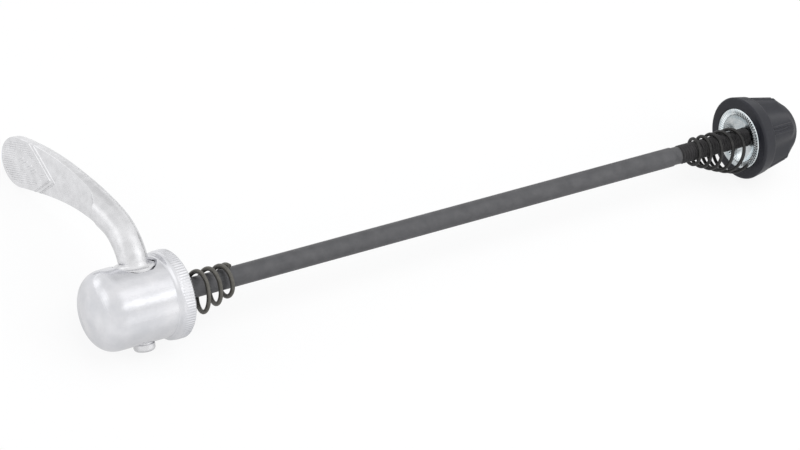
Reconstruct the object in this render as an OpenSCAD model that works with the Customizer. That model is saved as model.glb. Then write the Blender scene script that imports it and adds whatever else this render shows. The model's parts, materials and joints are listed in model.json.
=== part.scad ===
// Quick release axle for a bicycle wheel: a cam lever at one end, a screwed cap at the other.
// It lies on its rim, its cap and its lever, as it would on a bench.

/* [Axle] */
// Diameter of the axle rod
rod_d = 5; // [4.6:0.1:6]
// Distance between the two clamping faces
grip_gap = 172; // [140:1:210]
// Length of the threaded end
thread_len = 29.6; // [24:0.2:45]
// Reach of the rod past the nut's clamping face
rod_past_nut = 9; // [7:0.5:11]
// Diameter of the thin neck before the thread
neck_d = 4.6; // [4:0.1:4.8]
// Length of the thin neck
neck_len = 1.8; // [1:0.1:4]

/* [Cam housing] */
// Outer diameter of the housing
housing_d = 19.4; // [18:0.1:24]
// Length from the closed end to the open face
housing_len = 23.4; // [20:0.1:28]
// Radius round the closed end
end_round = 5; // [3:0.1:6]
// How far the closed end is domed
end_crown = 0.9; // [0.4:0.1:1.6]
// Diameter over the knurled rim
rim_d = 21.2; // [20.4:0.1:27]
// Width of the knurled rim
rim_w = 4; // [3:0.1:5]
// Width of the knurled band on it
knurl_w = 2.3; // [1:0.1:2.8]
// Number of grooves in the knurl
knurl_count = 96; // [24:2:120]
// Depth of the grooves
knurl_depth = 0.3; // [0.1:0.05:0.5]
// Diameter of the bore that the follower slides in
housing_bore_d = 13.2; // [12.6:0.1:15]
// Thickness of the closed end
end_wall = 5.6; // [2.5:0.1:6]

/* [Cam] */
// Distance from the open face to the lever's shaft
shaft_back = 9.5; // [9:0.1:12]
// Throw of the cam off the shaft's axis
cam_throw = 1.25; // [0.8:0.05:1.4]
// Diameter of the cam lobe
cam_d = 6.8; // [6:0.1:7.2]
// Diameter of the shaft's lower end
journal_d = 4.5; // [4:0.1:5]
// Diameter of the collar that turns in the housing's upper hole
collar_d = 10.1; // [9.9:0.1:10.6]
// Height of the peened end below the housing
nub_h = 1.9; // [1:0.1:3]
// Diameter of the peened end
nub_d = 5.2; // [5:0.1:6]
// Radial clearance of the shaft in the housing
shaft_fit = 0.06; // [0.03:0.01:0.1]
// Radial clearance of the cam in the follower's slot
cam_slack = 0.4; // [0.35:0.05:0.6]
// Length of the follower
follower_len = 12.1; // [11:0.1:12.5]

/* [Lever] */
// Reach of the lever from the shaft to the tip
lever_reach = 48; // [38:0.5:60]
// Height of the tip above the axle
lever_rise = 29.8; // [27:0.1:34]
// Diameter of the lever's shank
shank_d = 7.1; // [6:0.1:8]
// Width of the paddle
paddle_w = 13; // [9:0.1:14.5]
// Thickness of the paddle
paddle_t = 4.4; // [3:0.1:5]
// How far the tip leans outwards
tip_lean = 3.7; // [1:0.1:6]
// Rings along the lever
arm_rings = 36; // [20:1:44]

/* [Clamp ring] */
// Outer diameter of the ring in the housing's mouth
ring_d = 14.6; // [14:0.1:16.5]
// Thickness of the ring
ring_t = 1.9; // [1.4:0.1:2.1]
// How far the ring stands out of the housing
ring_proud = 0.8; // [0.4:0.1:1.2]
// Number of teeth on it
ring_teeth = 28; // [12:1:32]

/* [Springs] */
// Wire diameter of the lever side spring
wire_a = 1.2; // [0.8:0.1:1.4]
// Largest outer diameter of the lever side spring
coil_a_big = 11.9; // [9:0.1:13]
// Length of the lever side spring
coil_a_len = 15.9; // [11:0.1:18]
// Wire diameter of the nut side spring
wire_b = 0.9; // [0.6:0.1:1.1]
// Largest outer diameter of the nut side spring
coil_b_big = 12.2; // [11:0.1:14]
// Length of the nut side spring
coil_b_len = 17.1; // [14:0.1:20]
// How far the lever side coils lean along the axle, for each millimetre of their radius
coil_lean = 0.14; // [0:0.01:0.18]

// Side to which the loose coils hang, from straight down to the front
hang_turn = 57; // [0:1:90]

/* [Nut] */
// Outer diameter of the cap's flange
cap_d = 21.8; // [21:0.1:28]
// Length of the cap
cap_len = 15.1; // [14:0.1:20]
// Length of the flange
flange_len = 4.1; // [3:0.1:5]
// Diameter of the lobes at the outer end
cap_end_d = 16.8; // [16.5:0.1:20]
// Number of lobes
lobe_count = 5; // [3:1:7]
// How far round the rod the lobes stand at rest
lobe_turn = 5; // [-30:1:30]
// Diameter of the metal insert
insert_d = 16.2; // [15.5:0.1:17.5]
// Number of teeth on the insert
insert_teeth = 44; // [24:1:48]

/* [Hidden] */
$fn = 72;
slip = 0.1;             // sliding clearance on a radius
seat = 0.05;            // clearance where one piece is pressed into another
over = 1;               // how far a cutter reaches past the face that it cuts
rod_r = rod_d / 2;

ring_band = 3;                           // width of the toothed band on the clamp ring
open_face = -ring_proud;                 // the housing's open face
shaft_x = open_face - shaft_back;        // axis of the lever's shaft
closed_end = open_face - housing_len;    // outside of the housing's closed end
bore_end = closed_end + end_wall;        // bottom of the housing's bore
housing_r = housing_d / 2;
rim_r = rim_d / 2;
bore_r = housing_bore_d / 2;

cam_r = cam_d / 2;
slot_r = cam_r + cam_slack;
slot_x = shaft_x + cam_throw;            // the cam is thrown towards the nut when the lever is open
follower_r = bore_r - slip;
follower_back = bore_end + 2 * cam_throw + 0.3;
follower_front = follower_back + follower_len;
cam_floor = -sqrt(pow(bore_r, 2) - pow(cam_r + cam_throw, 2)) + 0.3;
collar_base = follower_r + 0.25;
collar_r = collar_d / 2;
collar_top = housing_r - 0.8;
relief_r = collar_r + 0.4;               // wider mouth of the upper hole, which shows as a dark ring
relief_z = housing_r - 1.5;

thread_x = grip_gap + rod_past_nut - thread_len;
rod_end = grip_gap + rod_past_nut;
rod_start = slot_x + slot_r + 0.25;

insert_r = insert_d / 2;
tooth_h = 0.35;
tooth_land = 0.22;                       // width of the flat top of a tooth
insert_t = 1.7;
dish_r = insert_r - 1.9;                 // inside edge of the toothed ring
dish_depth = 2.2;
hub_r = rod_r + 2.1;
hub_end = grip_gap + 10.6;
lock_t = 2.2;                            // thickness of the nylon ring in the hub's end
lock_r = rod_r + 1.3;
cap_face = grip_gap + 0.15;

blade_face = 2.4;                        // depth of the paddle's face off the shank's axis
face_start = 9;                          // where the flat face runs out of the round shank
lean_start = 8;

// A cylinder along the axle from one place to another
module along(x0, x1, r) {
    translate([x0, 0, 0]) rotate([0, 90, 0]) cylinder(h = x1 - x0, r = r);
}

// A turned shape round the axle, from points of [place along the axle, radius]
module turned(points) {
    rotate([0, 90, 0]) rotate_extrude() polygon([for (p = points) [p[1], p[0]]]);
}

// Radial teeth between two radii, whose flat tops lie at x and face along dir
module radial_teeth(count, x, r_in, r_out, dir) {
    root = x - dir * (tooth_h + 0.02);
    side = (tooth_h + 0.02 + tooth_land / 2) * sqrt(2);
    intersection() {
        turned([[x, r_in], [root - dir * tooth_h, r_in], [root - dir * tooth_h, r_out], [x, r_out]]);
        for (i = [0 : count - 1])
            rotate([360 / count * i, 0, 0])
                translate([root, 0, r_in - over])
                    rotate([0, 0, 45])
                        translate([-side / 2, -side / 2, 0])
                            cube([side, side, r_out - r_in + 2 * over]);
    }
}

// Points of an arc, for outlines
function arc(cx, cy, r, a0, a1, steps) =
    [for (i = [0 : steps]) [cx + r * cos(a0 + (a1 - a0) * i / steps), cy + r * sin(a0 + (a1 - a0) * i / steps)]];

// Faces of a tube made of rings with the same number of sides
function tube_faces(rings, sides) = concat(
    [for (i = [0 : rings - 2]) for (j = [0 : sides - 1])
        [i * sides + j, (i + 1) * sides + j, i * sides + (j + 1) % sides]],
    [for (i = [0 : rings - 2]) for (j = [0 : sides - 1])
        [(i + 1) * sides + j, (i + 1) * sides + (j + 1) % sides, i * sides + (j + 1) % sides]],
    [[for (j = [0 : sides - 1]) j]],
    [[for (j = [0 : sides - 1]) rings * sides - 1 - j]]);

function unit(v) = v / norm(v);
function mix(a, b, k) = a + (b - a) * k;
function eased(k) = let (c = min(1, max(0, k))) c * c * (3 - 2 * c);

// Centre line of the lever's arm, a Bezier curve in the plane of the shaft
arm_base = collar_top - 0.4;
arm_pull = [[0, arm_base], [0, lever_rise - 10.2], [lever_reach * 0.43, lever_rise - 1.5], [lever_reach, lever_rise]];
function arm_at(t) = pow(1 - t, 3) * arm_pull[0] + 3 * pow(1 - t, 2) * t * arm_pull[1]
    + 3 * (1 - t) * t * t * arm_pull[2] + pow(t, 3) * arm_pull[3];
function arm_way(t) = unit(pow(1 - t, 2) * (arm_pull[1] - arm_pull[0])
    + 2 * (1 - t) * t * (arm_pull[2] - arm_pull[1]) + t * t * (arm_pull[3] - arm_pull[2]));
function lean(y) = tip_lean * pow(max(0, y - lean_start) / (lever_reach - lean_start), 1.6);

// Section of the arm at t: round on the shank, a flattened oval on the paddle, rounded off at the tip
tip_start = 0.915;
function tip_round(t) = t < tip_start ? 1 : sqrt(max(0.0004, 1 - pow((t - tip_start) / (1 - tip_start), 2)));
function arm_ring(t, sides) =
    let (c = arm_at(t), w = arm_way(t), flat = eased((t - 0.25) / 0.4),
         half_w = mix(shank_d / 2, paddle_w / 2, eased((t - 0.35) / 0.68)) * tip_round(t),
         half_t = mix(shank_d / 2, paddle_t - 0.4, flat) * mix(tip_round(t), 1, 0.35),
         x0 = shaft_x - lean(c[0]) - flat * (blade_face - 0.4), power = mix(1, 0.72, flat))
    [for (j = [0 : sides - 1])
        let (a = 360 * j / sides,
             u = half_w * sign(cos(a)) * pow(abs(cos(a)), power),
             v = half_t * sign(sin(a)) * pow(abs(sin(a)), power))
        [x0 + v, c[0] - w[1] * u, c[1] + w[0] * u]];

arm_sides = 32;
arm_t = [for (i = [0 : arm_rings - 1]) let (k = i / (arm_rings - 1)) sin(90 * pow(k, 0.9))];
arm_points = [for (t = arm_t) each arm_ring(t, arm_sides)];

// Turn about the axle at which the paddle's edge and the rim lie on one plane
lay_angle = min([for (p = arm_points) if (p[1] > rim_r)
    atan2(p[2], p[1]) + asin(rim_r / norm([p[1], p[2]]))]);

module laid() {
    rotate([-lay_angle, 0, 0]) children();
}

module paddle_face() {
    steps = 24;
    run_out = 4;
    translate([0, 0, collar_top + over])
        linear_extrude(height = lever_rise + paddle_w)
            polygon(concat(
                [for (i = [0 : steps])
                    let (y = face_start + (lever_reach + over - face_start) * i / steps,
                         rise = (shank_d / 2 - blade_face) * pow(max(0, 1 - (y - face_start) / run_out), 2))
                    [shaft_x - blade_face - rise - lean(y), y]],
                [[shaft_x - shank_d * 2, lever_reach + over], [shaft_x - shank_d * 2, face_start]]));
}

module lever() {
    nub_top = -housing_r - 0.1;
    color("silver") laid() {
        difference() {
            polyhedron(points = arm_points, faces = tube_faces(arm_rings, arm_sides), convexity = 6);
            paddle_face();
        }
        translate([shaft_x, 0, 0]) {
            rotate_extrude() polygon(concat(
                [[0, collar_base], [collar_r, collar_base], [collar_r, collar_top - 0.25],
                 [collar_r - 0.25, collar_top]],
                arc(shank_d / 2 + 1, collar_top + 1, 1, 270, 180, 8),
                [[0, collar_top + 1]]));
            translate([cam_throw, 0, cam_floor]) cylinder(h = collar_top - cam_floor, r = cam_r - 0.01);
            translate([0, 0, nub_top - 0.2]) cylinder(h = collar_top - nub_top, d = journal_d);
            rotate_extrude() polygon(concat(
                [[0, nub_top], [nub_d / 2, nub_top], [nub_d / 2, nub_top - nub_h + 0.9]],
                arc(nub_d / 2 - 0.9, nub_top - nub_h + 0.9, 0.9, 0, -90, 8),
                [[0, nub_top - nub_h - 0.15]]));
        }
    }
}

module cam_housing() {
    shoulder = open_face - rim_w;
    knurl_start = open_face - knurl_w;
    crown_r = (pow(housing_r - end_round, 2) + pow(end_crown, 2)) / (2 * end_crown);
    crown_a = asin((housing_r - end_round) / crown_r);
    color("gainsboro") laid() difference() {
        union() {
            turned(concat(
                [[open_face - 0.5, 0]],
                arc(closed_end + crown_r, 0, crown_r, 180, 180 - crown_a, 10),
                arc(closed_end + end_crown + end_round, housing_r - end_round, end_round, 180 - crown_a, 90, 12),
                [[shoulder, housing_r], [shoulder + 0.25, rim_r - 0.35], [shoulder + 0.6, rim_r],
                 [knurl_start, rim_r], [knurl_start, rim_r - knurl_depth],
                 [open_face - 0.5, rim_r - knurl_depth]]));
            intersection() {
                turned([[knurl_start, 0], [knurl_start, rim_r], [open_face - 0.4, rim_r],
                        [open_face, rim_r - 0.4], [open_face, 0]]);
                translate([knurl_start, 0, 0]) rotate([0, 90, 0])
                    linear_extrude(height = knurl_w)
                        polygon([for (i = [0 : 2 * knurl_count - 1])
                            let (a = 180 / knurl_count * i, r = i % 2 == 0 ? rim_r + 0.02 : rim_r - knurl_depth)
                            [r * cos(a), r * sin(a)]]);
            }
        }
        along(bore_end, open_face + over, bore_r);
        along(-ring_t, open_face + over, ring_d / 2 + seat);
        translate([shaft_x, 0, 0]) cylinder(h = rim_r + over, r = collar_r + shaft_fit);
        translate([shaft_x, 0, relief_z]) cylinder(h = rim_r, r = relief_r);
        translate([shaft_x, 0, -rim_r - over]) cylinder(h = rim_r + over, r = journal_d / 2 + shaft_fit);
    }
}

module clamp_ring() {
    inner = rod_r + 0.3;
    color("dimgray") laid() {
        turned([[-ring_t, inner], [-tooth_h - 0.2, inner], [-tooth_h, inner + 0.2],
                [-tooth_h, ring_d / 2 - 0.15], [-tooth_h - 0.15, ring_d / 2], [-ring_t, ring_d / 2]]);
        radial_teeth(ring_teeth, 0, ring_d / 2 - ring_band, ring_d / 2 - 0.15, 1);
    }
}

module cam_follower() {
    color("darkgray") laid() difference() {
        turned([[follower_back, 0], [follower_back, follower_r - 0.4], [follower_back + 0.4, follower_r],
                [follower_front - 0.8, follower_r], [follower_front, follower_r - 0.8], [follower_front, 0]]);
        for (side = [-1, 1])
            translate([slot_x, side * cam_throw, -follower_r - over])
                cylinder(h = 2 * (follower_r + over), r = slot_r);
        translate([slot_x - slot_r, -cam_throw, -follower_r - over])
            cube([2 * slot_r, 2 * cam_throw, 2 * (follower_r + over)]);
        along(slot_x, follower_front + over, rod_r + seat);
    }
}

module skewer_rod() {
    neck_x = thread_x - neck_len;
    color("dimgray") laid()
        turned([[rod_start, 0], [rod_start, rod_r - 0.2], [rod_start + 0.2, rod_r],
                [neck_x - 0.3, rod_r], [neck_x, neck_d / 2], [thread_x, neck_d / 2],
                [thread_x + 0.4, rod_r], [rod_end - 0.6, rod_r], [rod_end, rod_r - 0.6], [rod_end, 0]]);
}

// A tapered coil round the rod that hangs on it, from its wide end to its narrow end
// The turns lean along the axle: wide_lean and narrow_lean give how far, toward Y and Z, at each end
module coil(x0, x1, big_r, small_r, turns, wire, start_angle, wide_lean, narrow_lean, taper) {
    hang_way = [0, -sin(hang_turn), -cos(hang_turn)];
    sides = 8;
    per_turn = 20;
    steps = round(turns * per_turn);
    rings = [for (i = [0 : steps])
        let (k = i / steps, a = start_angle + 360 * i / per_turn,
             r = mix(big_r, small_r, pow(k, taper)),
             x = mix(x0, x1, k) + r * mix(wide_lean, narrow_lean, k) * [cos(a), sin(a)],
             hang = r - wire / 2 - rod_r - 0.15,
             out = [0, cos(a), sin(a)],
             way = unit([(x1 - x0) / turns / (2 * PI * r), -sin(a), cos(a)]),
             up = cross(way, out))
        [for (j = [0 : sides - 1])
            [x, 0, 0] + hang * hang_way + r * out + wire / 2 * (cos(360 * j / sides) * out + sin(360 * j / sides) * up)]];
    polyhedron(points = [for (ring = rings) each ring], faces = tube_faces(len(rings), sides), convexity = 10);
}

module lever_side_spring() {
    color("black")
        coil(1.05, coil_a_len - wire_a / 2, (coil_a_big - wire_a) / 2, rod_r + wire_a / 2 + 0.15,
             3.92, wire_a, 45, coil_lean * [-0.891, 0.454], coil_lean * [-0.891, 0.454], 1);
}

module nut_side_spring() {
    color("black")
        coil(grip_gap - 2.1, grip_gap - coil_b_len + wire_b / 2, (coil_b_big - wire_b) / 2,
             rod_r + wire_b / 2 + 0.18, 5.35, wire_b, 180, [-0.069, 0.376], [0.095, -0.131], 1.26);
}

module nut_insert() {
    color("lightgray") laid() {
        turned([[grip_gap + tooth_h, dish_r], [grip_gap + tooth_h, insert_r - 0.15],
                [grip_gap + tooth_h + 0.15, insert_r], [grip_gap + insert_t, insert_r],
                [grip_gap + insert_t, hub_r + 1.2], [grip_gap + dish_depth + 1.2, hub_r], [hub_end, hub_r],
                [hub_end, lock_r], [hub_end - lock_t, lock_r], [hub_end - lock_t, rod_r + seat],
                [grip_gap + dish_depth, rod_r + seat], [grip_gap + dish_depth, rod_r + 1.2]]);
        radial_teeth(insert_teeth, grip_gap, dish_r + 0.05, insert_r - 0.15, -1);
    }
}

module nylon_lock_ring() {
    color("whitesmoke") laid()
        turned([[hub_end - lock_t + seat, rod_r + seat], [hub_end, rod_r + seat], [hub_end, lock_r - seat],
                [hub_end - lock_t + seat, lock_r - seat]]);
}

module nut_cap() {
    cap_r = cap_d / 2;
    cap_end = cap_face + cap_len;
    body_x = cap_face + flange_len;
    end_r = cap_end_d / 2;
    chamfer_x = cap_end - 3;
    lobe_r = cap_r - 0.95;
    groove_r = 4.75;
    groove_floor = cap_r - 2.5;
    groove_tilt = atan((groove_floor - end_r + 2.3) / (cap_end - body_x));
    rib_h = 0.15;
    color([0.11, 0.11, 0.12]) laid() rotate([lobe_turn, 0, 0]) {
        difference() {
            turned(concat(
                [[cap_face, 0]],
                arc(cap_face + 0.6, cap_r - 0.6, 0.6, 180, 90, 6),
                [[body_x - 0.2, cap_r - 0.55], [body_x, cap_r - 0.7], [body_x + 0.15, lobe_r], [chamfer_x, end_r],
                 [cap_end - 0.35, end_r - 2], [cap_end, end_r - 2.35], [cap_end, 0]]));
            for (i = [0 : lobe_count - 1])
                rotate([360 / lobe_count * (i + 0.5), 0, 0])
                    translate([body_x + groove_r * sin(groove_tilt), 0, groove_floor + groove_r * cos(groove_tilt)])
                        rotate([0, 90 + groove_tilt, 0]) cylinder(h = cap_len + over, r = groove_r);
            along(cap_face - over, grip_gap + insert_t + seat, insert_r + seat);
            along(cap_face, hub_end + seat, hub_r + 1.3);
            along(cap_face, cap_end + over, rod_r + 0.5);
        }
        for (i = [0 : lobe_count - 1]) for (side = [-1, 1])
            rotate([360 / lobe_count * i, 0, 0])
                intersection() {
                    translate([body_x, side * 0.75 - 0.35, end_r - 1.5]) cube([chamfer_x - body_x, 0.7, 3]);
                    turned([[body_x, 0], [body_x, lobe_r + rib_h], [chamfer_x, end_r + rib_h], [chamfer_x, 0]]);
                }
    }
}

lever();
cam_housing();
clamp_ring();
cam_follower();
skewer_rod();
lever_side_spring();
nut_side_spring();
nut_insert();
nylon_lock_ring();
nut_cap();
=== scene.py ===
# Quick release axle for a bicycle wheel: the looks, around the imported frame.
import json
import math

import bmesh
import bpy
import numpy as np
from mathutils import Matrix, Vector


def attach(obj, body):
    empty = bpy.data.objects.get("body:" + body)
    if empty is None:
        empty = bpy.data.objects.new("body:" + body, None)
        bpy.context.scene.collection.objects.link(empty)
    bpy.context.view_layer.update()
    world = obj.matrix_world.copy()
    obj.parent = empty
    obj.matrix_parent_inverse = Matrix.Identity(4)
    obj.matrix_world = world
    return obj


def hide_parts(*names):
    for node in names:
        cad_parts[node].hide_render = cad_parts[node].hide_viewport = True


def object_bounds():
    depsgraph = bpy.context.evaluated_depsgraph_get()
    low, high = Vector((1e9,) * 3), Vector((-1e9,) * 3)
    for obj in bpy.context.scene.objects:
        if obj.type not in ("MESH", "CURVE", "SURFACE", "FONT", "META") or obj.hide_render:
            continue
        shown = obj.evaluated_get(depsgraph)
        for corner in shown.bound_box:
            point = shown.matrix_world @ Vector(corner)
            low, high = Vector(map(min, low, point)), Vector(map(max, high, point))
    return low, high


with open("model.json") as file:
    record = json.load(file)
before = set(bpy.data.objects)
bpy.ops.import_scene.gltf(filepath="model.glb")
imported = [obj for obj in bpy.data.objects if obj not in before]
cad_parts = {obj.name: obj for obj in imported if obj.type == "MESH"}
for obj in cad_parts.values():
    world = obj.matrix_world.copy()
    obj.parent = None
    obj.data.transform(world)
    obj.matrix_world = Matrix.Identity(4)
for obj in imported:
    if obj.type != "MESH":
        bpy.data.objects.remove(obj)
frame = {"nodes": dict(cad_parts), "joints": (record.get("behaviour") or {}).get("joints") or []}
cadLow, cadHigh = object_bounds()
joints = {joint["name"]: joint for joint in frame["joints"]}
mm = 0.001
print("frame loaded:", len(frame["nodes"]), "nodes")

# The part lies rolled about the axle. Upright means the axle along X and the lever's shaft along Z, in mm.
shaftAxis = joints["lever_turn"]["axis"]
layAngle = math.atan2(shaftAxis[1], shaftAxis[2])
layTurn = np.array(Matrix.Rotation(-layAngle, 3, "X"))
shaftX = joints["lever_turn"]["pos_m"][0] / mm
gripGap = joints["nut_turn"]["pos_m"][0] / mm
axisGap = 0.01  # mm: the last ring of a turned shape is this small, and its end face closes it


# Small tools

def hexColor(code):  # sRGB hex to linear
    channels = [int(code[i:i + 2], 16) / 255 for i in (0, 2, 4)]
    return [c / 12.92 if c <= 0.04045 else ((c + 0.055) / 1.055) ** 2.4 for c in channels] + [1.0]


def addNode(tree, kind, inputs={}, **settings):
    node = tree.nodes.new(kind)
    for name, value in settings.items():
        setattr(node, name, value)
    for socket, value in inputs.items():
        if isinstance(value, bpy.types.NodeSocket):
            tree.links.new(value, node.inputs[socket])
        else:
            node.inputs[socket].default_value = value
    return node


def startMaterial(name):
    material = bpy.data.materials.new(name)
    material.use_nodes = True
    material.node_tree.nodes.clear()
    return material, material.node_tree


def eased(k):
    k = np.clip(k, 0, 1)
    return k * k * (3 - 2 * k)


def mixed(a, b, k):
    return a + (b - a) * k


def tubeFaces(rings, sides, looped=False):  # joins rings of points, and closes the two ends or loops round
    quads = []
    for i in range(rings if looped else rings - 1):
        low, high = i * sides, (i + 1) % rings * sides
        for j in range(sides):
            after = (j + 1) % sides
            quads.append((low + j, low + after, high + after, high + j))
    if not looped:
        quads.append(tuple(range(sides - 1, -1, -1)))
        quads.append(tuple((rings - 1) * sides + j for j in range(sides)))
    return quads


def addPiece(name, parts, body, material, sharpAngle=35, turn=layTurn):
    mesh = bpy.data.meshes.new(name)
    whole = bmesh.new()
    for points, faces in parts:
        placed = np.asarray(points) @ turn.T * mm
        part = bpy.data.meshes.new("part")
        part.from_pydata(placed.tolist(), [], faces)
        whole.from_mesh(part)
        bpy.data.meshes.remove(part)
    bmesh.ops.remove_doubles(whole, verts=whole.verts, dist=1e-7)
    bmesh.ops.holes_fill(whole, edges=[edge for edge in whole.edges if edge.is_boundary], sides=0)
    bmesh.ops.recalc_face_normals(whole, faces=whole.faces)
    whole.to_mesh(mesh)
    whole.free()
    mesh.polygons.foreach_set("use_smooth", [True] * len(mesh.polygons))
    mesh.set_sharp_from_angle(angle=math.radians(sharpAngle))
    mesh.materials.append(material)
    piece = bpy.data.objects.new(name, mesh)
    bpy.context.scene.collection.objects.link(piece)
    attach(piece, body)
    print("made", name, len(mesh.polygons), "faces")
    return piece


def lathe(profile, sides, axis="x"):  # rings of points round the axle, or round the lever's shaft
    angles = np.arange(sides) * 2 * math.pi / sides
    rings = []
    for place, radius in profile:
        along = np.full(sides, float(place))
        a, b = radius * np.cos(angles), radius * np.sin(angles)
        rings.append(np.stack([along, a, b] if axis == "x" else [shaftX + a, b, along], 1))
    return np.concatenate(rings)


def arcPoints(cx, cy, radius, startAngle, endAngle, steps):
    angles = np.radians(np.linspace(startAngle, endAngle, steps + 1))
    return [(cx + radius * math.cos(a), cy + radius * math.sin(a)) for a in angles]


# Finishes

def makeFinish(name, finish):
    # A metal or moulded surface, whose tint, roughness and relief drift over it
    # as the polishing, the plating or the mould left them. The real grain is some hundredths
    # of a millimetre, too fine to show, so it is drawn as coarse as grainMm.
    material, tree = startMaterial(name)
    driftSize, grainSize = finish["driftMm"] * mm, finish["grainMm"] * mm
    noiseSpan = {"From Min": 0.3, "From Max": 0.7}  # the noise seldom leaves this range
    place = addNode(tree, "ShaderNodeTexCoord").outputs["Object"]
    drift = addNode(tree, "ShaderNodeTexNoise", {"Vector": place, "Scale": 1 / driftSize,
                                                 "Detail": 3.0, "Roughness": 0.55})
    grain = addNode(tree, "ShaderNodeTexNoise", {"Vector": place, "Scale": 1 / grainSize,
                                                 "Detail": 4.0, "Roughness": 0.6})
    spread = addNode(tree, "ShaderNodeMapRange", {"Value": drift.outputs["Fac"], **noiseSpan})
    tint = addNode(tree, "ShaderNodeMix", {"Factor": spread.outputs["Result"],
                                           "A": hexColor(finish["darkTint"]),
                                           "B": hexColor(finish["tint"])}, data_type="RGBA")
    rough = addNode(tree, "ShaderNodeMapRange", {"Value": grain.outputs["Fac"], **noiseSpan,
                                                 "To Min": finish["roughness"] * 0.8,
                                                 "To Max": finish["roughness"] * 1.25})
    swell = addNode(tree, "ShaderNodeBump", {"Height": drift.outputs["Fac"], "Distance": driftSize,
                                             "Strength": finish["driftBump"]})
    relief = addNode(tree, "ShaderNodeBump", {"Height": grain.outputs["Fac"], "Distance": grainSize,
                                              "Strength": finish["grainBump"],
                                              "Normal": swell.outputs["Normal"]})
    surface = addNode(tree, "ShaderNodeBsdfPrincipled", {"Base Color": tint.outputs["Result"],
                                                         "Roughness": rough.outputs["Result"],
                                                         "Normal": relief.outputs["Normal"],
                                                         "Metallic": finish.get("metallic", 1.0),
                                                         "Specular IOR Level": finish.get("specular", 0.5)})
    addNode(tree, "ShaderNodeOutputMaterial", {"Surface": surface.outputs["BSDF"]})
    return material


# Bright chrome over a polished steel cup: a clear mirror with faint waves
chromePlate = makeFinish("bright chrome plate", {
    "tint": "e2e2e5", "darkTint": "d3d4d8", "driftMm": 5.0, "driftBump": 0.03,
    "grainMm": 0.6, "grainBump": 0.01, "roughness": 0.17})
# Chrome over a tumbled forging: satin, and mottled where the forging's skin shows through
satinChrome = makeFinish("satin chromed forging", {
    "tint": "e3e3e5", "darkTint": "d3d3d5", "driftMm": 2.4, "driftBump": 0.06,
    "grainMm": 0.4, "grainBump": 0.03, "roughness": 0.24})
# Zinc electroplate with a blue passivate: bright, cool and a little cloudy
zincPlate = makeFinish("bright zinc plate", {
    "tint": "f6fafb", "darkTint": "cfdadf", "driftMm": 1.6, "driftBump": 0.04,
    "grainMm": 0.3, "grainBump": 0.03, "roughness": 0.2})
# Turned steel, left bare and oiled: mid grey, with a soft even shine
bareSteel = makeFinish("oiled turned steel", {
    "tint": "a9aaad", "darkTint": "8c8d90", "driftMm": 2.0, "driftBump": 0.02,
    "grainMm": 0.3, "grainBump": 0.02, "roughness": 0.3})
# Manganese phosphate: a fine crystal skin on the rolled rod, dark grey and nearly matt
phosphate = makeFinish("manganese phosphate coat", {
    "tint": "5d5d5f", "darkTint": "525254", "driftMm": 3.0, "driftBump": 0.01,
    "grainMm": 0.12, "grainBump": 0.12, "roughness": 0.45, "metallic": 0.55})
# Spring wire, patented and blackened: dark, with the sheen of the drawn skin
blackWire = makeFinish("blackened spring wire", {
    "tint": "3c3b3a", "darkTint": "2a2a2a", "driftMm": 1.5, "driftBump": 0.02,
    "grainMm": 0.15, "grainBump": 0.05, "roughness": 0.36, "metallic": 0.6})
# The same wire with the phosphate still on it, as grey as the rod
greyWire = makeFinish("phosphated spring wire", {
    "tint": "6a6863", "darkTint": "57554f", "driftMm": 1.5, "driftBump": 0.02,
    "grainMm": 0.15, "grainBump": 0.08, "roughness": 0.42, "metallic": 0.6})
# The rolled thread is coloured darker than the plain rod: painted shade for its grooves and for the spring
# wound round it
threadPaintedShade = makeFinish("phosphate thread, darkened as painted shade", {
    "tint": "3a393a", "darkTint": "2e2d2e", "driftMm": 1.5, "driftBump": 0.01,
    "grainMm": 0.12, "grainBump": 0.05, "roughness": 0.34, "metallic": 0.6})
# Black oxide: a thin dull black, with the steel still shining through at a slant
blackOxide = makeFinish("black oxide on steel", {
    "tint": "2c2c2e", "darkTint": "202022", "driftMm": 1.5, "driftBump": 0.02,
    "grainMm": 0.2, "grainBump": 0.05, "roughness": 0.4, "metallic": 0.6})
# Nylon without filler or colour: milky and a little waxy
nylonNatural = makeFinish("natural nylon", {
    "tint": "e9e8dc", "darkTint": "dfddcf", "driftMm": 2.0, "driftBump": 0.01,
    "grainMm": 0.3, "grainBump": 0.02, "roughness": 0.4, "metallic": 0.0})
# Nylon from a finely sparked mould: blue-black, with a soft broad shine
blackMoulding = makeFinish("moulded black nylon", {
    "tint": "23242b", "darkTint": "1f2026", "specular": 0.33, "driftMm": 4.0, "driftBump": 0.01,
    "grainMm": 0.18, "grainBump": 0.04, "roughness": 0.36, "metallic": 0.0})
print("finishes made")


# The lever: a forged arm, round at the shank, with a flat face cut on its outer side

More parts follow.
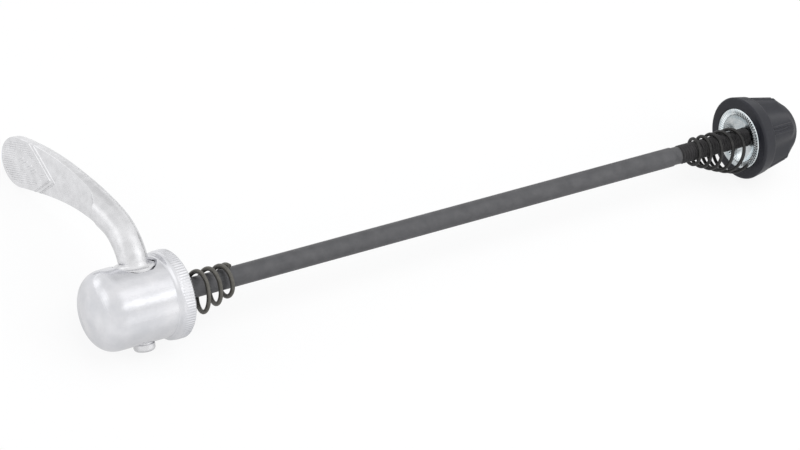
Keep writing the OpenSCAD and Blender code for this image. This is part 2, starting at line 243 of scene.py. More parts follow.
leverShape = {
    "reach": 48, "rise": 29.8, "base": 8.5, "shankPull": 10.2, "elbowReach": 0.43, "elbowDrop": 1.5,
    "shankDiameter": 7.1, "paddleWidth": 13, "paddleThickness": 4.4, "paddleRound": 0.72,
    "tipLean": 3.7, "leanStart": 8, "leanCurve": 1.6, "faceDepth": 2.4, "faceStart": 9, "faceRunOut": 4,
    "faceLap": 0.4, "creaseRadius": 0.3,
    # shares of the arm's length
    "shankShare": 0.3, "flatStart": 0.25, "flatRun": 0.4, "widenStart": 0.35, "widenRun": 0.68,
    "tipStart": 0.915, "tipLeast": 0.0004, "tipThinning": 0.35,
    "shankRings": 60, "paddleRings": 330, "faceSides": 150, "backSides": 60,
}
noFace = -99  # mm: far off the arm, where it has no flat face
faceMarks = {  # on the flat face: Y along the lever, Z across it
    "ribPitch": 0.55, "ribHeight": 0.15, "ribMargin": 0.7, "ribStart": 1.0, "ribFade": 0.4,
    "chevronPoint": (29.0, 26.1), "upperLeg": (5.54, 6.76), "lowerLeg": (5.6, -2.73), "chevronGap": 1.15,
    "lineWidth": 0.2, "lineEdge": 0.12, "lineHeight": 0.18,
    "barMiddle": (37.7, 28.9), "barWay": (-0.886, -0.463), "barSpacing": 1.75, "barHalfLength": 1.05,
    "barHalfWidth": 0.12, "barEdge": 0.34, "barHeight": 0.34, "barCount": 4,
    "barSlant": 0.707,  # the sine of 45 degrees
    "plainHalf": (5.0, 2.1),  # round the bars the face has no ribs
}


def armCentre(t):  # a bent line through the arm's middle, and the way it runs, in Y and Z
    reach, rise = leverShape["reach"], leverShape["rise"]
    pull = np.array([[0, leverShape["base"]], [0, rise - leverShape["shankPull"]],
                     [reach * leverShape["elbowReach"], rise - leverShape["elbowDrop"]], [reach, rise]])
    t = t[:, None]
    centre = ((1 - t) ** 3 * pull[0] + 3 * (1 - t) ** 2 * t * pull[1]
              + 3 * (1 - t) * t * t * pull[2] + t ** 3 * pull[3])
    way = ((1 - t) ** 2 * (pull[1] - pull[0]) + 2 * (1 - t) * t * (pull[2] - pull[1])
           + t * t * (pull[3] - pull[2]))
    return centre, way / np.linalg.norm(way, axis=1, keepdims=True)


def armLean(y):  # the tip leans outwards
    start = leverShape["leanStart"]
    share = np.maximum(0, y - start) / (leverShape["reach"] - start)
    return leverShape["tipLean"] * share ** leverShape["leanCurve"]


def facePlace(y):  # where the flat face lies along X
    runOut = np.maximum(0, 1 - (y - leverShape["faceStart"]) / leverShape["faceRunOut"])
    rise = (leverShape["shankDiameter"] / 2 - leverShape["faceDepth"]) * runOut ** 2
    place = shaftX - leverShape["faceDepth"] - rise - armLean(y)
    return np.where(y < leverShape["faceStart"], noFace, place)


def softStep(distance, halfWidth, edge):  # 1 inside halfWidth, falling to 0 over the edge
    return eased((halfWidth + edge - np.abs(distance)) / edge)


def faceRelief(y, z, fromEdge):  # height of the ribs, the chevron's lines and the bars over the face
    point = np.array(faceMarks["chevronPoint"])
    relief = np.zeros_like(y)
    inside = np.full_like(y, np.inf)  # how far within the chevron, towards the tip
    for leg, side in ((faceMarks["upperLeg"], 1), (faceMarks["lowerLeg"], -1)):
        way = np.array(leg) / np.linalg.norm(leg)
        normal = np.array([way[1], -way[0]]) * side
        across = (y - point[0]) * normal[0] + (z - point[1]) * normal[1]
        inside = np.minimum(inside, across)
    for offset in (0, -faceMarks["chevronGap"]):
        line = softStep(inside - offset, faceMarks["lineWidth"] / 2, faceMarks["lineEdge"])
        relief = np.maximum(relief, faceMarks["lineHeight"] * line)
    middle, way = np.array(faceMarks["barMiddle"]), np.array(faceMarks["barWay"])
    alongRow = (y - middle[0]) * way[0] + (z - middle[1]) * way[1]
    acrossRow = (y - middle[0]) * way[1] - (z - middle[1]) * way[0]
    for i in range(faceMarks["barCount"]):
        at = (i - (faceMarks["barCount"] - 1) / 2) * faceMarks["barSpacing"]
        across = (alongRow - at - acrossRow) * faceMarks["barSlant"]
        along = (alongRow - at + acrossRow) * faceMarks["barSlant"]
        bar = (softStep(across, faceMarks["barHalfWidth"], faceMarks["barEdge"])
               * softStep(along, faceMarks["barHalfLength"], faceMarks["barEdge"]))
        relief = np.maximum(relief, faceMarks["barHeight"] * bar)
    fade = faceMarks["ribFade"]
    plain = (softStep(alongRow, faceMarks["plainHalf"][0], fade)
             * softStep(acrossRow, faceMarks["plainHalf"][1], fade))
    ribbed = (eased((inside - faceMarks["ribStart"]) / fade)
              * eased((fromEdge - faceMarks["ribMargin"]) / fade) * (1 - plain))
    groove = (0.5 + 0.5 * np.cos(2 * math.pi * z / faceMarks["ribPitch"])) ** 2  # narrow grooves, broad ribs
    return relief - faceMarks["ribHeight"] * groove * ribbed


def armOutline(angle, halfWidth, halfThick, power):  # one section of the arm, as an oval or a rounded box
    across = halfWidth * np.sign(np.cos(angle)) * np.abs(np.cos(angle)) ** power
    through = halfThick * np.sign(np.sin(angle)) * np.abs(np.sin(angle)) ** power
    return across, through


def makeArm():
    shape = leverShape
    share = shape["shankShare"]
    paddleSteps = np.sin(math.pi / 2 * np.linspace(0, 1, shape["paddleRings"]) ** 0.95)  # closer at the tip
    t = np.concatenate([np.linspace(0, share, shape["shankRings"], endpoint=False),
                        share + (1 - share) * paddleSteps])
    centre, way = armCentre(t)
    rounding = 1 - ((t - shape["tipStart"]) / (1 - shape["tipStart"])) ** 2
    tip = np.where(t < shape["tipStart"], 1, np.sqrt(np.maximum(shape["tipLeast"], rounding)))
    flat = eased((t - shape["flatStart"]) / shape["flatRun"])
    widening = eased((t - shape["widenStart"]) / shape["widenRun"])
    shank = shape["shankDiameter"] / 2
    halfWidth = mixed(shank, shape["paddleWidth"] / 2, widening) * tip
    halfThick = (mixed(shank, shape["paddleThickness"] - shape["faceLap"], flat)
                 * mixed(tip, 1, shape["tipThinning"]))
    baseX = shaftX - armLean(centre[:, 0]) - flat * (shape["faceDepth"] - shape["faceLap"])
    power = mixed(1, shape["paddleRound"], flat)
    faceMiddle, faceSpan = 1.5 * math.pi, 0.3  # radians
    reach = shape["creaseRadius"]
    rings = []
    for i in range(len(t)):
        section = halfWidth[i], halfThick[i], power[i]
        # the flat face cuts the section between two angles, and its part gets most of the points
        probe = np.linspace(math.pi, 2 * math.pi, 1201)
        u, v = armOutline(probe, *section)
        y = centre[i, 0] - way[i, 1] * u
        cut = np.nonzero(baseX[i] + v < facePlace(y))[0]
        low, high = faceMiddle - faceSpan, faceMiddle + faceSpan
        if len(cut):
            low, high = min(low, probe[cut[0]]), max(high, probe[cut[-1]])
        uLow, uHigh = armOutline(np.array([low, high]), *section)[0]
        uFace = np.linspace(uLow, uHigh, shape["faceSides"])
        cosine = np.sign(uFace) * (np.abs(uFace) / halfWidth[i]) ** (1 / power[i])
        faceAngles = 2 * math.pi - np.arccos(np.clip(cosine, -1, 1))
        k = np.arange(1, shape["backSides"] + 1) / (shape["backSides"] + 1)
        crowded = k - 0.13 * np.sin(2 * math.pi * k)  # closer at the two edges of the face
        backAngles = high + (2 * math.pi - (high - low)) * crowded
        u, v = armOutline(np.concatenate([faceAngles, backAngles]), *section)
        y, z = centre[i, 0] - way[i, 1] * u, centre[i, 1] + way[i, 0] * u
        skin = baseX[i] + v
        face = facePlace(y)
        fromEdge = np.minimum(u - uLow, uHigh - u) if len(cut) else np.zeros_like(u)
        # skin and face meet in a small round
        closeness = np.clip(0.5 + 0.5 * (skin - face) / reach, 0, 1)
        x = face * (1 - closeness) + skin * closeness + reach * closeness * (1 - closeness)
        x = np.where(face == noFace, skin, x)
        x = x - np.where(skin < face - reach, faceRelief(y, z, fromEdge), 0)
        rings.append(np.stack([x, y, z], 1))
    sides = shape["faceSides"] + shape["backSides"]
    return np.concatenate(rings), tubeFaces(len(t), sides)


shaftShape = {
    "collarDiameter": 10.1, "collarBase": 6.75, "collarTop": 8.9, "collarEdge": 0.25, "fillet": 1.0,
    "shankSink": (0.6, 0.4), "camDiameter": 6.8, "camThrow": 1.25, "camFloor": -4.38, "camEdge": 0.2,
    "lap": 1, "journalDiameter": 4.5, "nubDiameter": 5.2, "nubTop": -9.8, "nubHeight": 1.9, "nubEdge": 0.9,
    "nubBevel": 0.1, "nubDish": ((0.45, 0.08), (0, 0.15)), "sides": 128,
}


def makeShaft():
    shape = shaftShape
    collar, top, edge = shape["collarDiameter"] / 2, shape["collarTop"], shape["collarEdge"]
    shank, fillet = leverShape["shankDiameter"] / 2, shape["fillet"]
    rise, sink = shape["shankSink"]  # the fillet's top ends inside the arm
    upper = [(shape["collarBase"], axisGap), (shape["collarBase"], collar), (top - edge, collar)]
    upper += [(top - edge + y, collar - edge + x) for x, y in arcPoints(0, 0, edge, 10, 80, 4)]
    upper += [(top + fillet + y, shank + fillet + x) for x, y in arcPoints(0, 0, fillet, 270, 180, 14)]
    upper += [(top + fillet + rise, shank - sink), (top + fillet + rise, axisGap)]
    cam, floor = shape["camDiameter"] / 2, shape["camFloor"]
    inside = top - shape["lap"]  # the cam and the journal run up into the collar
    middle = [(floor, axisGap), (floor, cam - shape["camEdge"]), (floor + shape["camEdge"], cam),
              (inside, cam), (inside, axisGap)]
    journal, nub, nubTop = shape["journalDiameter"] / 2, shape["nubDiameter"] / 2, shape["nubTop"]
    nubFloor, nubEdge, bevel = nubTop - shape["nubHeight"], shape["nubEdge"], shape["nubBevel"]
    lower = [(inside, axisGap), (inside, journal), (nubTop, journal), (nubTop, nub - bevel),
             (nubTop - bevel, nub)]
    lower += [(nubFloor + nubEdge + y, nub - nubEdge + x) for x, y in arcPoints(0, 0, nubEdge, 0, -80, 12)]
    lower += [(nubFloor - depth, max(nub * share, axisGap)) for share, depth in shape["nubDish"]]
    parts = []
    for profile, offset in ((upper, 0), (middle, shape["camThrow"]), (lower, 0)):
        points = lathe(profile, shape["sides"], "z") + [offset, 0, 0]
        parts.append((points, tubeFaces(len(profile), shape["sides"])))
    return parts


arm = addPiece("leverForging", [makeArm()], "lever", satinChrome, 32)
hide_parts("lever")
addPiece("leverShaft", makeShaft(), "lever", satinChrome, 32)


# The rod: plain and phosphated, then a thin neck and a rolled thread

rodShape = {
    "diameter": 5, "start": -4.85, "startChamfer": 0.2, "neckDiameter": 4.6, "neckLength": 1.8,
    "shoulderStart": 0.45, "shoulderBend": (0.1, 0.3), "threadLength": 29.6, "pastNut": 9, "pitch": 0.8,
    "rootDepth": 0.42, "crestDepth": 0.03, "runIn": 0.5, "endChamfer": 0.6, "ringsPerPitch": 8, "sides": 72,
}


def makeRod():
    shape = rodShape
    r = shape["diameter"] / 2
    end = gripGap + shape["pastNut"]
    threadStart = end - shape["threadLength"]
    neckStart = threadStart - shape["neckLength"]
    neck = shape["neckDiameter"] / 2
    bend, bendShare = shape["shoulderBend"]
    profile = [(shape["start"], axisGap), (shape["start"], r - shape["startChamfer"]),
               (shape["start"] + shape["startChamfer"], r)]
    profile += [(x, r) for x in np.linspace(0, neckStart - shape["shoulderStart"], 40)]
    profile += [(neckStart - bend, mixed(neck, r, bendShare)), (neckStart, neck), (threadStart, neck),
                (threadStart, axisGap)]
    plain = lathe(profile, shape["sides"])
    perPitch, sides = shape["ringsPerPitch"], shape["sides"]
    ringCount = int((shape["threadLength"] / shape["pitch"] + 1) * perPitch) + 1
    form = np.array([0.0, 0.1, 0.5, 0.9, 1.0, 1.0, 0.5, 0.0])  # root, flank, crest and flank of one pitch
    spacing = np.array([0.0, 0.1, 0.26, 0.42, 0.48, 0.58, 0.76, 0.92])
    angles = np.arange(sides) * 2 * math.pi / sides
    rings = []
    for i in range(ringCount):
        turn, step = divmod(i, perPitch)
        x = threadStart + shape["pitch"] * (turn - 1 + spacing[step] + np.arange(sides) / sides)
        x = np.clip(x, threadStart, end)
        root = mixed(neck, r - shape["rootDepth"], eased((x - threadStart) / shape["runIn"]))
        crest = mixed(neck, r - shape["crestDepth"], eased((x - threadStart) / (shape["runIn"] * 1.5)))
        chamfer = np.minimum(1, (end - x) / shape["endChamfer"])
        radius = np.minimum(mixed(root, crest, form[step]), mixed(r - shape["endChamfer"], r, chamfer))
        rings.append(np.stack([x, radius * np.cos(angles), radius * np.sin(angles)], 1))
    # each ring climbs one pitch in a turn, so its last side joins the ring one pitch on
    faces = []
    for i in range(ringCount - 1):
        for j in range(sides):
            after, hop = (j + 1) % sides, perPitch if j == sides - 1 else 0
            if i + 1 + hop < ringCount:
                faces.append((i * sides + j, (i + hop) * sides + after, (i + 1 + hop) * sides + after,
                              (i + 1) * sides + j))
    return (plain, tubeFaces(len(profile), sides)), (np.concatenate(rings), faces)


plainRod, rolledThread = makeRod()
rod = addPiece("phosphatedRod", [plainRod], "rod", phosphate, 40)
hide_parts("skewer_rod")
# the thread's darker coat is painted shade
addPiece("rolledThread", [rolledThread], "rod", threadPaintedShade, 40)


# The two tapered springs, which hang loose on the rod

leverSpringShape = {  # angles in degrees round the axle, pitches in mm a turn
    "startAngle": -150, "endAngle": 1150, "place": 3.98, "pitch": 3.68, "closedFrom": 880,
    "closedPitch": 1.25, "bigRadius": 5.17, "taperPerTurn": 0.56, "smallRadius": 3.25,
    "leanFrom": -60, "leanOver": 1200, "wideLean": (0.248, 0.097), "narrowLean": (0.041, 0.098),
    "wire": 1.1, "hangTurn": 90,
}
nutSpringShape = {
    "from": gripGap - 2.1, "to": gripGap - 16.65, "startAngle": 180, "turns": 5.35,
    "bigRadius": 5.65, "smallRadius": 3.13, "taper": 1.26,
    "wideLean": (-0.069, 0.376), "narrowLean": (0.095, -0.131), "wire": 0.9, "hangTurn": 57,
}
springSteps = {"perTurn": 72, "sides": 16}
springClearance = 0.15  # mm between the rod and the wire that hangs on it


def leverSpringLine():  # angle, place and radius along the wire, and how far it has gone to its narrow end
    shape = leverSpringShape
    span = shape["endAngle"] - shape["startAngle"]
    angle = np.linspace(shape["startAngle"], shape["endAngle"], int(span / 360 * springSteps["perTurn"]))
    closed = np.maximum(0, angle - shape["closedFrom"]) / 360
    x = shape["place"] + shape["pitch"] * angle / 360 - (shape["pitch"] - shape["closedPitch"]) * closed
    radius = np.maximum(shape["bigRadius"] - shape["taperPerTurn"] * angle / 360, shape["smallRadius"])
    return angle, x, radius, np.clip((angle - shape["leanFrom"]) / shape["leanOver"], 0, 1)


def nutSpringLine():
    shape = nutSpringShape
    k = np.linspace(0, 1, int(shape["turns"] * springSteps["perTurn"]) + 1)
    radius = mixed(shape["bigRadius"], shape["smallRadius"], k ** shape["taper"])
    return shape["startAngle"] + 360 * shape["turns"] * k, mixed(shape["from"], shape["to"], k), radius, k


def makeSpring(shape, line):  # each turn hangs with its inside on the rod, and leans over
    degrees, x, radius, k = line
    angle = np.radians(degrees)
    leanY = mixed(shape["wideLean"][0], shape["narrowLean"][0], k)
    leanZ = mixed(shape["wideLean"][1], shape["narrowLean"][1], k)
    x = x + radius * (leanY * np.cos(angle) + leanZ * np.sin(angle))
    hangTurn = math.radians(shape["hangTurn"])
    hangWay = np.array([0, -math.sin(hangTurn), -math.cos(hangTurn)])
    wire, sides = shape["wire"] / 2, springSteps["sides"]
    hang = np.maximum(0, radius - wire - rodShape["diameter"] / 2 - springClearance)
    out = np.stack([np.zeros_like(angle), np.cos(angle), np.sin(angle)], 1)
    centres = np.stack([x, radius * out[:, 1], radius * out[:, 2]], 1) + hang[:, None] * hangWay
    way = np.gradient(centres, axis=0)
    way /= np.linalg.norm(way, axis=1, keepdims=True)
    up = np.cross(way, out)
    up /= np.linalg.norm(up, axis=1, keepdims=True)
    wireAngles = np.arange(sides) * 2 * math.pi / sides
    outward, upward = np.cos(wireAngles)[:, None], np.sin(wireAngles)[:, None]
    rings = [centres[i] + wire * (outward * out[i] + upward * up[i]) for i in range(len(centres))]
    return np.concatenate(rings), tubeFaces(len(rings), sides)


leverSpring = addPiece("leverSideSpring", [makeSpring(leverSpringShape, leverSpringLine())], "housing",
                       greyWire, 40, np.eye(3))
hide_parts("lever_side_spring")
nutSpring = addPiece("nutSideSpring", [makeSpring(nutSpringShape, nutSpringLine())], "nut_spring",
                     blackWire, 40, np.eye(3))
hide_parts("nut_side_spring")


# The moulded cap: a flange and five lobes with scalloped grooves between them

capShape = {
    "face": gripGap + 0.15, "length": 15.1, "flangeDiameter": 21.8, "flangeLength": 4.1, "flangeTaper": 0.55,
    "flangeEdge": 0.6, "flangeBackEdge": ((-0.12, 0.04), (-0.04, 0.13), (0, 0.25)),
    "lobeFoot": ((0.05, 0.04), (0.15, 0)), "tipEdge": ((0.12, 0.08), (0, 0.35)), "lobeDiameter": 19.9,
    "endDiameter": 16.8, "faceDiameter": 12.1, "chamferLength": 3, "lobes": 5, "lobeTurn": 5,
    "grooveForm": 1.15, "grooveFloor": 8.4, "grooveEndFloor": 6.1, "grooveRunIn": 0.35,
    "ribHeight": 0.24, "ribHalfWidth": 0.33, "ribRound": 0.12, "ribEdge": 0.2, "ribPlace": 0.75,
    "ribRunIn": 0.2, "ribRunOut": 0.4,
    "insertRadius": 8.15, "insertFloor": gripGap + 1.75, "pocketRadius": 5.9, "pocketFloor": gripGap + 10.65,
    "holeRadius": 3.0, "mouthBevel": 0.12, "holeBevel": 0.3, "sides": 600,
}


def makeCap():
    shape = capShape
    face, end = shape["face"], shape["face"] + shape["length"]
    bodyStart = face + shape["flangeLength"]
    flange, endRadius, lobe = shape["flangeDiameter"] / 2, shape["endDiameter"] / 2, shape["lobeDiameter"] / 2
    flangeBack, edge = flange - shape["flangeTaper"], shape["flangeEdge"]
    chamfer, tip = end - shape["chamferLength"], shape["faceDiameter"] / 2
    # the bare tenths of a millimetre only keep each run of rings off the edge beside it
    outer = [(face, shape["insertRadius"] + shape["mouthBevel"])]
    outer += [(face + edge + x, flange - edge + y) for x, y in arcPoints(0, 0, edge, 180, 90, 8)]
    outer += [(x, mixed(flange, flangeBack, (x - face - edge) / (shape["flangeLength"] - 0.8)))
              for x in np.linspace(face + 0.9, bodyStart - 0.2, 8)]
    outer += [(bodyStart + along, flangeBack - inward) for along, inward in shape["flangeBackEdge"]]
    outer += [(bodyStart + along, lobe + outward) for along, outward in shape["lobeFoot"]]
    outer += [(x, mixed(lobe, endRadius, (x - bodyStart) / (chamfer - bodyStart)))
              for x in np.linspace(bodyStart + 0.35, chamfer - 0.25, 44)]
    outer += [(chamfer, endRadius - 0.05)]
    outer += [(x, mixed(endRadius, tip, (x - chamfer) / (end - chamfer)))
              for x in np.linspace(chamfer + 0.25, end - 0.35, 14)]
    outer += [(end - back, tip - inward) for back, inward in shape["tipEdge"]]
    angles = np.arange(shape["sides"]) * 2 * math.pi / shape["sides"]
    half = math.pi / shape["lobes"]
    turned = angles + math.radians(shape["lobeTurn"])
    toGroove = (turned % (2 * half)) - half  # angle from the middle of the nearest groove
    toLobe = ((turned + half) % (2 * half)) - half
    rings = []
    for x, r in outer:
        radius = np.full_like(angles, r)
        if x > bodyStart - 0.01:
            floor = mixed(shape["grooveFloor"], shape["grooveEndFloor"], (x - bodyStart) / (end - bodyStart))
            depth = np.maximum(0, r - floor) * eased((x - bodyStart) / shape["grooveRunIn"])
            radius = radius - depth * (0.5 + 0.5 * np.cos(shape["lobes"] * toGroove)) ** shape["grooveForm"]
            place = radius * np.sin(toLobe)
            flatHalf, ribEdge = shape["ribHalfWidth"] - shape["ribRound"], shape["ribEdge"]
            rib = sum(softStep(place - side * shape["ribPlace"], flatHalf, ribEdge) for side in (-1, 1))
            runOut = (chamfer + shape["ribRunOut"] / 2 - x) / shape["ribRunOut"]
            fade = eased((x - bodyStart) / shape["ribRunIn"]) * eased(runOut)
            radius = radius + shape["ribHeight"] * rib * (np.cos(toLobe) > 0) * fade
        rings.append(np.stack([np.full_like(angles, x), radius * np.sin(angles), radius * np.cos(angles)], 1))
    # back through the hole and the pockets for the insert, to its mouth
    hole, bevel = shape["holeRadius"], shape["holeBevel"]
    pocketFloor, insertFloor, mouth = shape["pocketFloor"], shape["insertFloor"], shape["insertRadius"]
    inner = [(end, hole + bevel), (end - bevel, hole), (pocketFloor, hole),
             (pocketFloor, shape["pocketRadius"]), (insertFloor, shape["pocketRadius"]),
             (insertFloor, mouth), (face + shape["mouthBevel"], mouth)]
    for x, r in inner:
        rings.append(np.stack([np.full_like(angles, x), r * np.sin(angles), r * np.cos(angles)], 1))
    return np.concatenate(rings), tubeFaces(len(rings), shape["sides"], looped=True)


cap = addPiece("mouldedCap", [makeCap()], "nut", blackMoulding, 40)
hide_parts("nut_cap")


# The toothed insert in the cap, with a fine tooth that runs out towards the rim

insertShape = {
    "teeth": 66, "face": gripGap + 0.01, "toothDepth": 0.24, "rimDepth": 0.05, "dishRadius": 6.2,
    "bandRadius": 7.85, "bandSteps": (0, 0.3, 0.65, 1), "radius": 8.1, "thickness": 1.7, "dishDepth": 2.2,
    "dishFloor": 3.7, "dishSlope": 0.9, "toothStep": (0.03, 0.1), "rimEdge": (0.1, 0.12), "rimRound": 0.35,
    "hubRadius": 4.6, "hubEnd": gripGap + 10.6, "hubFoot": 1.2,
    "lockRadius": 3.8, "lockLength": 2.2, "boreRadius": 2.55, "sides": 66 * 8,
}


def makeInsert():
    shape = insertShape
    face, sides, bore = shape["face"], shape["sides"], shape["boreRadius"]
    dish, back = face + shape["dishDepth"], face + shape["thickness"]
    inside, toothFloor, slope = shape["dishRadius"], face + shape["toothDepth"], shape["dishSlope"]
    stepDown, stepOut = shape["toothStep"]  # so that the teeth start cleanly at the dish
    band = [(mixed(shape["toothDepth"], shape["rimDepth"], k),
             mixed(inside + stepOut, shape["bandRadius"], k)) for k in shape["bandSteps"]]
    lockFloor = shape["hubEnd"] - shape["lockLength"]
    profile = [(dish, bore), (dish, shape["dishFloor"]), (toothFloor + slope, inside - slope),
               (toothFloor + stepDown, inside)]
    first = len(profile)
    profile += [(face, radius) for depth, radius in band]
    hub, foot = shape["hubRadius"], shape["hubFoot"]
    edgeBack, edgeOut = shape["rimEdge"]
    profile += [(face + edgeBack, shape["bandRadius"] + edgeOut), (face + shape["rimRound"], shape["radius"]),
                (back, shape["radius"]), (back, hub + foot), (dish + foot, hub), (shape["hubEnd"], hub),
                (shape["hubEnd"], shape["lockRadius"]), (lockFloor, shape["lockRadius"]), (lockFloor, bore)]
    points = lathe(profile, sides)
    wave = 0.5 - 0.5 * np.cos(shape["teeth"] * np.arange(sides) * 2 * math.pi / sides)
    for i, (depth, radius) in enumerate(band, first):
        points[i * sides:(i + 1) * sides, 0] += depth * wave
    return points, tubeFaces(len(profile), sides, looped=True)


insert = addPiece("toothedInsert", [makeInsert()], "nut", zincPlate, 50)
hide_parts("nut_insert")


# The knurled band round the mouth of the cup, which flares out of the cup's side

bandShape = {
    "face": -0.8, "inner": 9.55, "radius": 10.62, "bevel": 0.4,
    "flare": [(-4.4, 9.72), (-4.25, 9.76), (-4.1, 9.86), (-3.95, 10.03), (-3.8, 10.24), (-3.65, 10.42),
              (-3.5, 10.54), (-3.3, 10.61)],
    "knurlStart": -3.15, "knurlSteps": ((0.25, 0.3), (0.7, 1.0)), "knurlMargin": 0.1, "knurlHeight": 0.12,
    "knurlCount": 96, "frontStep": 0.05, "sides": 96 * 8,
}


def makeBand():
    shape = bandShape
    face, sides, radius = shape["face"], shape["sides"], shape["radius"]
    start, front = face + shape["knurlStart"], face - shape["frontStep"]
    flare = [(face + x, flareRadius) for x, flareRadius in shape["flare"]]
    knurl = [(start + x, share) for x, share in shape["knurlSteps"]]  # place, and share of its full height
    knurl += [(face - shape["bevel"] - shape["knurlMargin"], 1.0)]
    profile = [(flare[0][0], shape["inner"])] + flare + [(start, radius + 0.01)]
    first = len(profile)
    profile += [(x, radius) for x, share in knurl]
    profile += [(front, radius - shape["bevel"] + shape["frontStep"]), (front, shape["inner"])]
    points = lathe(profile, sides)
    wave = 0.5 - 0.5 * np.cos(shape["knurlCount"] * np.arange(sides) * 2 * math.pi / sides)
    for i, (x, share) in enumerate(knurl, first):
        points[i * sides:(i + 1) * sides, 1:] *= 1 + (share * shape["knurlHeight"] * wave / radius)[:, None]
    return points, tubeFaces(len(profile), sides, looped=True)


addPiece("knurledBand", [makeBand()], "housing", chromePlate, 40)


# The pieces that keep their packed form

packedFinishes = {"cam_housing": chromePlate, "clamp_ring": blackOxide, "cam_follower": bareSteel,
                  "nylon_lock_ring": nylonNatural}
for node, material in packedFinishes.items():
    mesh = frame["nodes"][node].data
    for i in range(len(mesh.materials)):
        mesh.materials[i] = material
print("packed pieces dressed")


# Floor, light and camera

white = (1, 1, 1, 1)
floorLook = {  # metres
    "halfSize": 6.0, "drop": 0.00005, "tint": "f4f4f4", "glow": 0.88,
    # shade, lit and dim set painted shade near the part, painted light on the far side and a painted dark
    # patch beyond the cap, all in the paper's glow
    "shadeLevel": 0.7, "shadeWidth": 0.05, "litLevel": 1.45, "litStart": 0.15, "litEnd": 0.4,
    "dimLevel": 0.1, "dimPlace": (0.3, 0.17, 0.0), "dimStart": 0.1, "dimEnd": 0.25,
}


def seenRays(tree, ray):  # 1 for what the eye sees, straight, in metal or through glass
    seen = addNode(tree, "ShaderNodeMath", {0: ray.outputs["Is Camera Ray"], 1: ray.outputs["Is Glossy Ray"]},
                   operation="MAXIMUM")
    seen = addNode(tree, "ShaderNodeMath", {0: seen.outputs[0], 1: ray.outputs["Is Transmission Ray"]},
                   operation="MAXIMUM")
    return seen.outputs[0]


def addFloor():
    # White paper: white to the eye, and it still takes a soft shadow; its glow also carries painted shade and
    # a painted dark patch in the metal, and painted light on its far side
    look = floorLook
    size, floorZ = look["halfSize"], cadLow[2] - look["drop"]
    mesh = bpy.data.meshes.new("paperFloor")
    corners = [(-size, -size, floorZ), (size, -size, floorZ), (size, size, floorZ), (-size, size, floorZ)]
    mesh.from_pydata(corners, [], [(0, 1, 2, 3)])
    floor = bpy.data.objects.new("paperFloor", mesh)
    bpy.context.scene.collection.objects.link(floor)
    material, tree = startMaterial("white paper")
    paper = addNode(tree, "ShaderNodeBsdfDiffuse", {"Color": hexColor(look["tint"])})
    ray = addNode(tree, "ShaderNodeLightPath")
    place = addNode(tree, "ShaderNodeTexCoord").outputs["Object"]
    # in the metal the paper's glow is darkened towards the axle: painted shade, where the part keeps the
    # light off it
    across = addNode(tree, "ShaderNodeSeparateXYZ", {"Vector": place})
    side = addNode(tree, "ShaderNodeMath", {0: across.outputs["Y"]}, operation="ABSOLUTE")
    end = addNode(tree, "ShaderNodeMath", {0: across.outputs["X"], 1: -1.0, 2: 0.0}, operation="MULTIPLY_ADD")
    far = addNode(tree, "ShaderNodeMath", {0: side.outputs[0], 1: end.outputs[0]}, operation="MAXIMUM")
    shade = addNode(tree, "ShaderNodeMapRange", {"Value": far.outputs[0], "From Max": look["shadeWidth"],
                                                 "To Min": look["shadeLevel"], "To Max": 1.0},
                    interpolation_type="SMOOTHSTEP")
    # beyond the cap the paper's glow in the metal is darkened: a painted dark patch, which keeps the cap's
    # upper lobes black
    near = addNode(tree, "ShaderNodeVectorMath", {0: place, 1: look["dimPlace"]}, operation="DISTANCE")
    dim = addNode(tree, "ShaderNodeMapRange", {"Value": near.outputs["Value"], "From Min": look["dimStart"],
                                               "From Max": look["dimEnd"], "To Min": look["dimLevel"],
                                               "To Max": 1.0}, interpolation_type="SMOOTHSTEP")
    both = addNode(tree, "ShaderNodeMath", {0: shade.outputs["Result"], 1: dim.outputs["Result"]},
                   operation="MULTIPLY")
    level = addNode(tree, "ShaderNodeMix", {"Factor": ray.outputs["Is Glossy Ray"], "A": 1.0,
                                            "B": both.outputs[0]}, data_type="FLOAT")
    # and on the far side the paper's glow is raised: painted light, which draws the bright crease along the
    # lever
    lit = addNode(tree, "ShaderNodeMapRange", {"Value": across.outputs["Y"], "From Min": look["litStart"],
                                               "From Max": look["litEnd"], "To Min": 1.0,
                                               "To Max": look["litLevel"]}, interpolation_type="SMOOTHSTEP")
    bright = addNode(tree, "ShaderNodeMath", {0: level.outputs["Result"], 1: lit.outputs["Result"]},
                     operation="MULTIPLY")
    glow = addNode(tree, "ShaderNodeEmission", {"Color": white, "Strength": bright.outputs[0]})
    shown = addNode(tree, "ShaderNodeMixShader", {"Fac": look["glow"], 1: paper.outputs["BSDF"],
                                                  2: glow.outputs["Emission"]})
    either = addNode(tree, "ShaderNodeMixShader", {"Fac": seenRays(tree, ray), 1: paper.outputs["BSDF"],
                                                   2: shown.outputs["Shader"]})
    addNode(tree, "ShaderNodeOutputMaterial", {"Surface": either.outputs["Shader"]})
    mesh.materials.append(material)


def addWorld():  # an even room, and plain white wherever it is seen
    world = bpy.data.worlds.new("studio")
    bpy.context.scene.world = world
    world.use_nodes = True
    tree = world.node_tree
    tree.nodes.clear()
    room = addNode(tree, "ShaderNodeBackground", {"Color": hexColor("f2f4f8"), "Strength": 0.5})
    shown = addNode(tree, "ShaderNodeBackground", {"Color": white, "Strength": 1.0})
    seen = seenRays(tree, addNode(tree, "ShaderNodeLightPath"))
    either = addNode(tree, "ShaderNodeMixShader", {"Fac": seen, 1: room.outputs["Background"],
                                                   2: shown.outputs["Background"]})
    addNode(tree, "ShaderNodeOutputWorld", {"Surface": either.outputs["Shader"]})


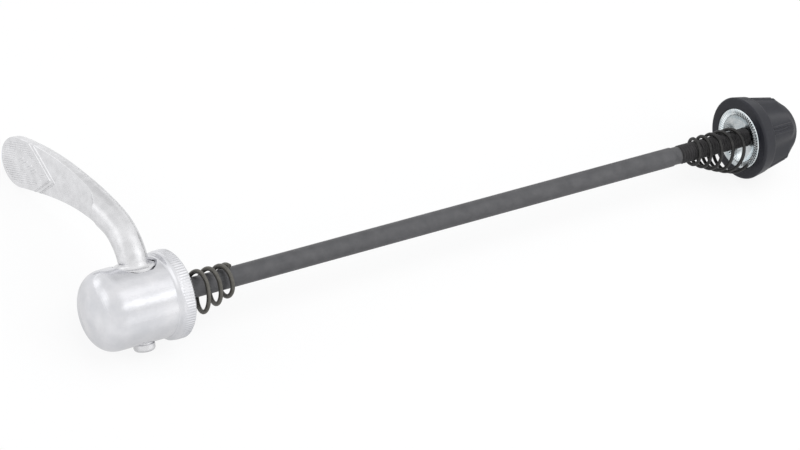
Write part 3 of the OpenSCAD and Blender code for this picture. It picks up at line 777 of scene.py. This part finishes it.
def addLamp(name, place, target, size, power, color):
    light = bpy.data.lights.new(name, "AREA")
    light.shape = "RECTANGLE"
    light.size, light.size_y = size
    light.energy = power
    light.color = hexColor(color)[:3]
    lamp = bpy.data.objects.new(name, light)
    lamp.location = place
    lamp.rotation_euler = (Vector(target) - Vector(place)).to_track_quat("-Z", "Y").to_euler()
    lamp.visible_glossy = False  # the soft panels are what the metal shows
    bpy.context.scene.collection.objects.link(lamp)


def addPanel(name, way, distance, size, level):
    # A studio panel with soft edges, seen only in the reflections: brighter or darker than the white room
    panelMesh = bpy.data.meshes.new(name)
    panelMesh.from_pydata([(-1, -1, 0), (1, -1, 0), (1, 1, 0), (-1, 1, 0)], [], [(0, 1, 2, 3)])
    panel = bpy.data.objects.new(name, panelMesh)
    direction = Vector(way).normalized()
    panel.location = direction * distance
    across = Vector((1, 0, 0)) - direction * direction[0]  # its width lies along the axle
    if across.length < 0.3:  # or upright, where the panel faces along the axle
        across = Vector((0, 0, 1)) - direction * direction[2]
    across.normalize()
    panel.rotation_euler = Matrix((across, direction.cross(across), direction)).transposed().to_euler()
    panel.scale = (size[0] / 2, size[1] / 2, 1)
    bpy.context.scene.collection.objects.link(panel)
    panel.visible_camera = panel.visible_diffuse = panel.visible_shadow = panel.visible_transmission = False
    material, tree = startMaterial(name)
    place = addNode(tree, "ShaderNodeTexCoord").outputs["Object"]
    far = addNode(tree, "ShaderNodeVectorMath", {0: place}, operation="LENGTH")
    fade = addNode(tree, "ShaderNodeMapRange", {"Value": far.outputs["Value"], "From Min": 0.1,
                                                "From Max": 1.0, "To Min": 1.0, "To Max": 0.0},
                   interpolation_type="SMOOTHSTEP")
    clear = addNode(tree, "ShaderNodeBsdfTransparent")
    glow = addNode(tree, "ShaderNodeEmission", {"Color": white, "Strength": level})
    both = addNode(tree, "ShaderNodeMixShader", {"Fac": fade.outputs["Result"], 1: clear.outputs["BSDF"],
                                                 2: glow.outputs["Emission"]})
    addNode(tree, "ShaderNodeOutputMaterial", {"Surface": both.outputs["Shader"]})
    panelMesh.materials.append(material)


cameraFit = {  # fitted to the outlines of the cup, the rod and the nut
    "right": (0.818122, -0.500898, 0.282449), "up": (0.222417, 0.728584, 0.647840),
    "back": (-0.530289, -0.467191, 0.707479), "placeMm": (-358.153, -371.038, 564.437),
    "sensorWidth": 36, "lens": 146.743, "clipStart": 0.01,
}


def addCamera():
    data = bpy.data.cameras.new("camera")
    data.sensor_width = cameraFit["sensorWidth"]
    data.lens = cameraFit["lens"]
    data.clip_start = cameraFit["clipStart"]
    camera = bpy.data.objects.new("camera", data)
    axes = Matrix([Vector(cameraFit[way]) for way in ("right", "up", "back")]).transposed()
    camera.matrix_world = Matrix.Translation(Vector(cameraFit["placeMm"]) * mm) @ axes.to_4x4()
    bpy.context.scene.collection.objects.link(camera)
    bpy.context.scene.camera = camera


addFloor()
addWorld()
middle = (0.08, 0.0, 0.0)
# place, target, size in metres, watts and colour
addLamp("topSoftbox", (0.35, -0.05, 0.8), middle, (0.8, 1.2), 6.0, "ffffff")
addLamp("leftSoftbox", (-0.75, 0.25, 0.5), (0, 0, 0.02), (0.5, 0.5), 2.2, "fdfcff")
addLamp("rightSoftbox", (0.65, -0.6, 0.4), middle, (0.5, 0.4), 1.4, "fffdfa")
# direction, distance, size, and a level at which 1 is as bright as the white room
addPanel("overheadPanel", (0.46, -0.1, 0.88), 1.2, (2.4, 1.0), 1.25)
addPanel("stripPanel", (0.46, -0.5, 0.74), 1.2, (2.2, 0.7), 1.5)
addPanel("frontPanel", (0.55, -0.82, 0.2), 1.2, (2.4, 1.0), 1.15)
addPanel("sidePanel", (-0.85, 0.3, 0.35), 1.0, (1.2, 1.0), 1.35)
addPanel("backPanel", (-0.5, 0.82, 0.14), 1.0, (1.0, 0.8), 1.45)
addPanel("duskPanel", (0.46, 0.72, 0.5), 1.1, (1.1, 0.9), 0.8)
addPanel("farPanel", (0.97, 0.2, 0.05), 1.3, (0.6, 0.5), 0.3)
addCamera()
bpy.context.scene.view_settings.view_transform = "Standard"
print("stage set")
